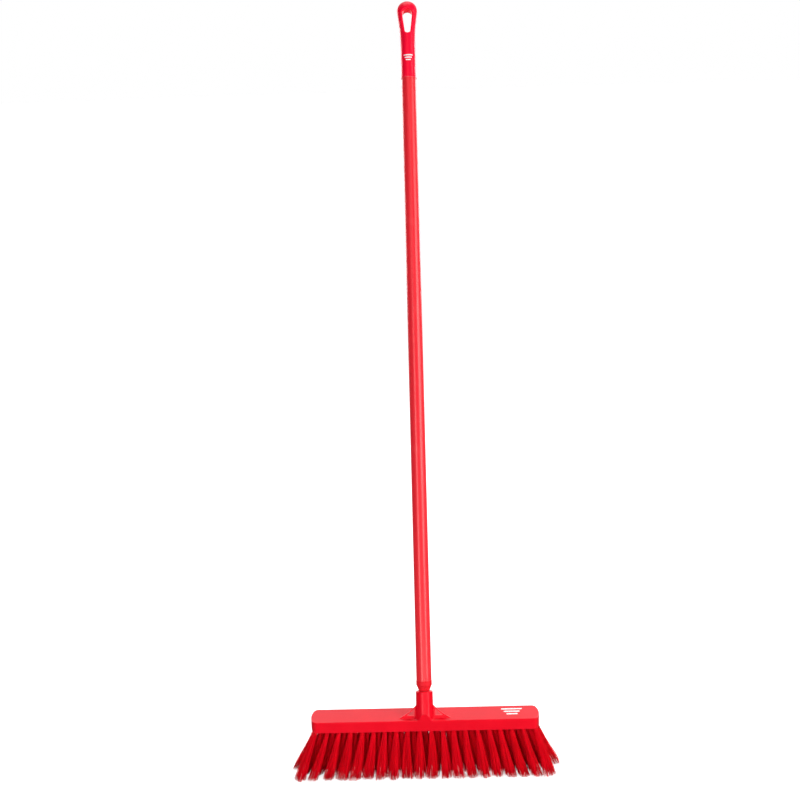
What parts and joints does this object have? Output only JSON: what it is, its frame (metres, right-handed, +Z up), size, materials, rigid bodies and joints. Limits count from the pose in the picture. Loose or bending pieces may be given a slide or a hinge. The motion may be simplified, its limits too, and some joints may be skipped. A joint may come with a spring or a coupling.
{
  "type": "push broom",
  "caption": "Push broom with a long moulded head, splayed bristle tufts in staggered rows and a leaning tube handle that screws into a webbed socket and ends in an eye.",
  "frame": {"origin": "on the floor under the middle of the head, where the bristle tips stand", "axes": "+Z up, +X along the head, -Y the front of the head; the handle leans back towards +Y"},
  "size_m": [0.5612, 0.5656, 1.561],
  "materials": {
    "red_block_plastic": "moulded polypropylene, fine satin",
    "red_bristle": "polyester filament, satin",
    "staple_steel": "drawn flat wire",
    "tube_aluminium": "drawn tube",
    "red_sleeve_plastic": "extruded satin sleeve",
    "red_fitting_plastic": "moulded, matt",
    "red_grip_plastic": "moulded, soft gloss",
    "white_print": "pad-printed ink"
  },
  "bodies": {
    "head": {"broom_block": "red_block_plastic", "tuft_row_1": "red_bristle", "tuft_row_2": "red_bristle", "tuft_row_3": "red_bristle", "tuft_row_4": "red_bristle", "tuft_row_5": "red_bristle", "anchor_row_1": "staple_steel", "anchor_row_2": "staple_steel", "anchor_row_3": "staple_steel", "anchor_row_4": "staple_steel", "anchor_row_5": "staple_steel"},
    "tube": {"handle_tube": "tube_aluminium"},
    "handle": {"handle_sleeve": "red_sleeve_plastic", "thread_end": "red_fitting_plastic", "hanger_grip": "red_grip_plastic"}
  },
  "joints": [
    {"name": "handle_travel", "type": "slide", "parent": "head", "child": "tube", "axis": [0, 0.3355, 0.9421], "range_m": [0, 0.03]},
    {"name": "handle_screw", "type": "hinge", "parent": "tube", "child": "handle", "pos_m": [0, 0.00345, 0.17081], "axis": [0, 0.3355, 0.9421], "range_deg": [0, 2160]}
  ],
  "couplings": [
    {"joint": "handle_travel", "follows": "handle_screw", "m_per_rad": 0.00079577}
  ]
}
